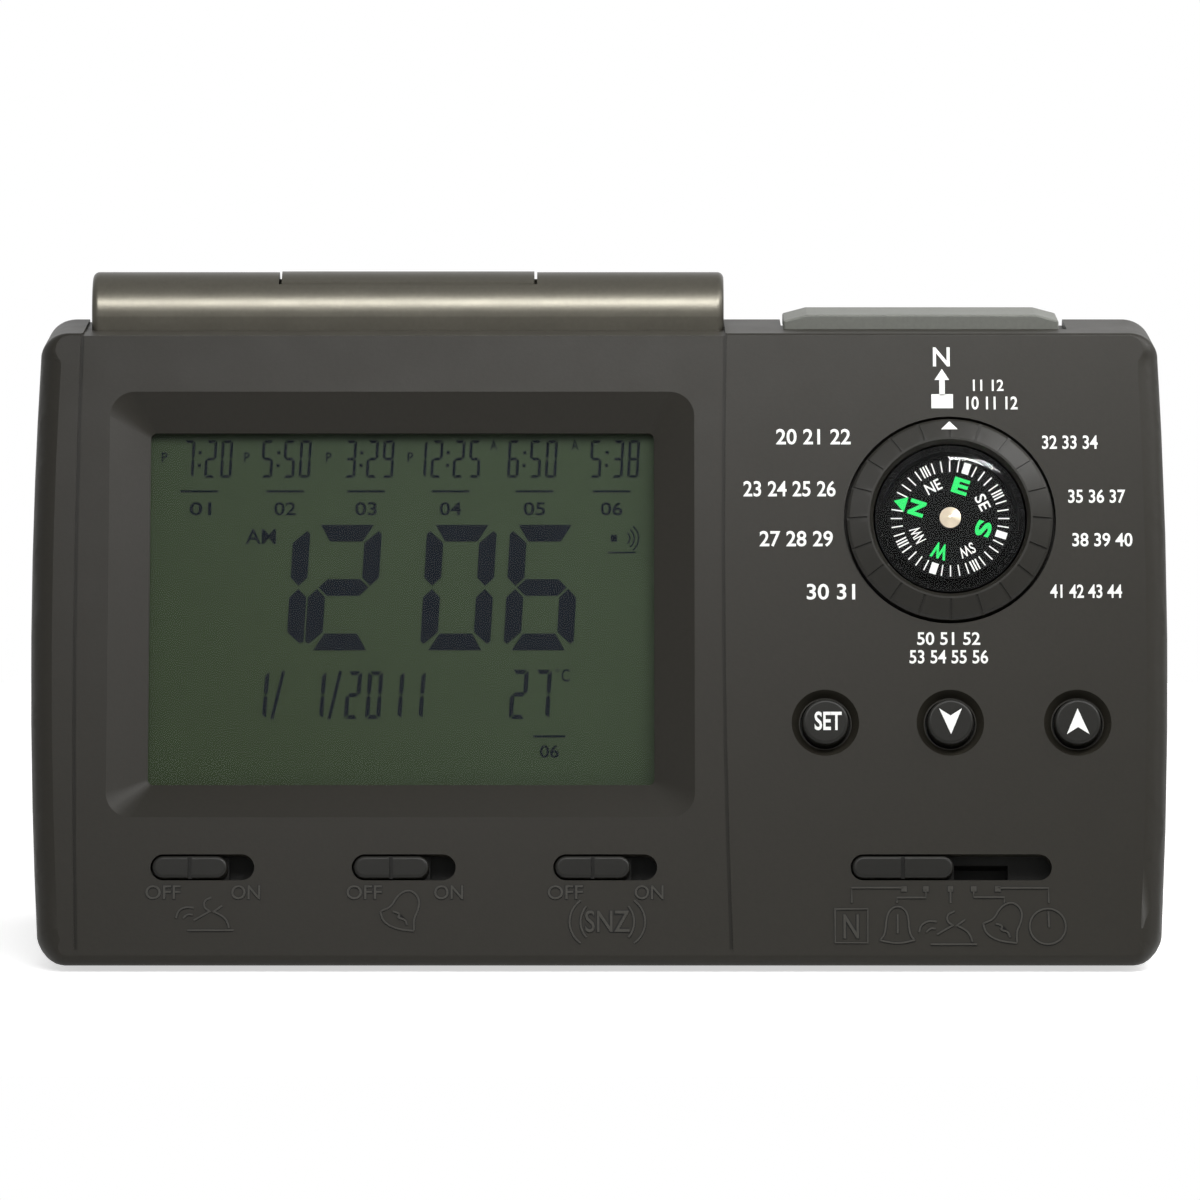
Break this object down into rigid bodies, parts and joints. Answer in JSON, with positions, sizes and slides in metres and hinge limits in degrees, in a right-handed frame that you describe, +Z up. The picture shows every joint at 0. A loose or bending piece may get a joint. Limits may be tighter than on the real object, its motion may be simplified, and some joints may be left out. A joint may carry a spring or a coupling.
{
  "type": "azan clock",
  "caption": "Desk alarm clock with a leaning face: digital display, compass with a turning city dial, slide switches, push buttons, a snooze bar in a top roll and a battery door.",
  "frame": {"origin": "middle of the footprint, at the level of the feet's undersides", "axes": "+X to the viewer's right along the face, +Y to the back, +Z up; the face leans back by 20 degrees"},
  "size_m": [0.1552, 0.0494, 0.0909],
  "materials": {
    "housing": "dark grey, satin",
    "knob": "dark grey, satin",
    "dial": "dark grey, satin, printed",
    "light_key": "grey, satin",
    "rubber": "matt",
    "lens": "clear, polished",
    "display": "grey-green display",
    "light_guide": "frosted",
    "zebra": "soft strip",
    "white_plastic": "moulded",
    "board": "board lacquer",
    "switch_body": "moulded",
    "compass_cup": "black",
    "dome": "clear, polished",
    "card": "black, printed",
    "brass": "turned",
    "magnet": "plain",
    "steel": "plated",
    "speaker_metal": "pressed",
    "cone": "pressed paper",
    "cell": "printed sleeve",
    "spring_steel": "nickel plated"
  },
  "bodies": {
    "case": {"front_case": "housing", "rear_case": "housing", "top_hood": "housing", "rubber_feet": "rubber", "display_lens": "lens", "lcd_glass": "display", "light_guide": "light_guide", "zebra_strip": "zebra", "lcd_holder": "white_plastic", "main_board": "board", "slide_switches": "switch_body", "mode_switch": "switch_body", "key_switches": "switch_body", "compass_cup": "compass_cup", "compass_dome": "dome", "compass_pin": "steel", "top_board": "board", "top_switches": "switch_body", "speaker_frame": "speaker_metal", "speaker_magnet": "magnet", "speaker_cone": "cone", "speaker_ring": "white_plastic", "battery_1": "cell", "battery_2": "cell", "battery_contacts": "spring_steel", "board_screws": "steel", "compass_screws": "steel", "case_screws": "steel", "speaker_screws": "steel", "top_board_screws": "steel"},
    "call_switch": {"call_knob": "knob"},
    "alarm_switch": {"alarm_knob": "knob"},
    "snooze_switch": {"snooze_knob": "knob"},
    "mode_selector": {"mode_knob": "knob"},
    "set_key": {"set_button": "knob"},
    "down_key": {"down_button": "knob"},
    "up_key": {"up_button": "knob"},
    "city_dial": {"dial_ring": "dial", "dial_retainer": "dial"},
    "needle": {"compass_card": "card", "card_cap": "brass", "card_magnet": "magnet"},
    "bar": {"snooze_bar": "housing"},
    "light_key": {"light_button": "light_key"},
    "door": {"battery_door": "housing"}
  },
  "joints": [
    {"name": "call_slide", "type": "slide", "parent": "case", "child": "call_switch", "axis": [1, 0, 0], "range_m": [0, 0.0034]},
    {"name": "alarm_slide", "type": "slide", "parent": "case", "child": "alarm_switch", "axis": [1, 0, 0], "range_m": [0, 0.0034]},
    {"name": "snooze_slide", "type": "slide", "parent": "case", "child": "snooze_switch", "axis": [1, 0, 0], "range_m": [0, 0.0034]},
    {"name": "mode_slide", "type": "slide", "parent": "case", "child": "mode_selector", "axis": [1, 0, 0], "range_m": [0, 0.0131]},
    {"name": "set_press", "type": "slide", "parent": "case", "child": "set_key", "axis": [0, 0.9397, -0.342], "range_m": [0, 0.0008], "stiffness_N_per_m": 300, "springref_m": -0.0004},
    {"name": "down_press", "type": "slide", "parent": "case", "child": "down_key", "axis": [0, 0.9397, -0.342], "range_m": [0, 0.0008], "stiffness_N_per_m": 300, "springref_m": -0.0004},
    {"name": "up_press", "type": "slide", "parent": "case", "child": "up_key", "axis": [0, 0.9397, -0.342], "range_m": [0, 0.0008], "stiffness_N_per_m": 300, "springref_m": -0.0004},
    {"name": "dial_turn", "type": "hinge", "parent": "case", "child": "city_dial", "pos_m": [0.0479, -0.00402, 0.05915], "axis": [0, -0.9397, 0.342], "continuous": true},
    {"name": "needle_spin", "type": "hinge", "parent": "case", "child": "needle", "pos_m": [0.0479, -0.00402, 0.05915], "axis": [0, -0.9397, 0.342], "continuous": true},
    {"name": "bar_press", "type": "slide", "parent": "case", "child": "bar", "axis": [0, 0, -1], "range_m": [0, 0.001], "stiffness_N_per_m": 300, "springref_m": -0.0004},
    {"name": "light_press", "type": "slide", "parent": "case", "child": "light_key", "axis": [0, 0, -1], "range_m": [0, 0.0006], "stiffness_N_per_m": 300, "springref_m": -0.0004},
    {"name": "door_hinge", "type": "hinge", "parent": "case", "child": "door", "pos_m": [-0.033, 0.02345, 0.0061], "axis": [-1, 0, 0], "range_deg": [0, 90]}
  ]
}
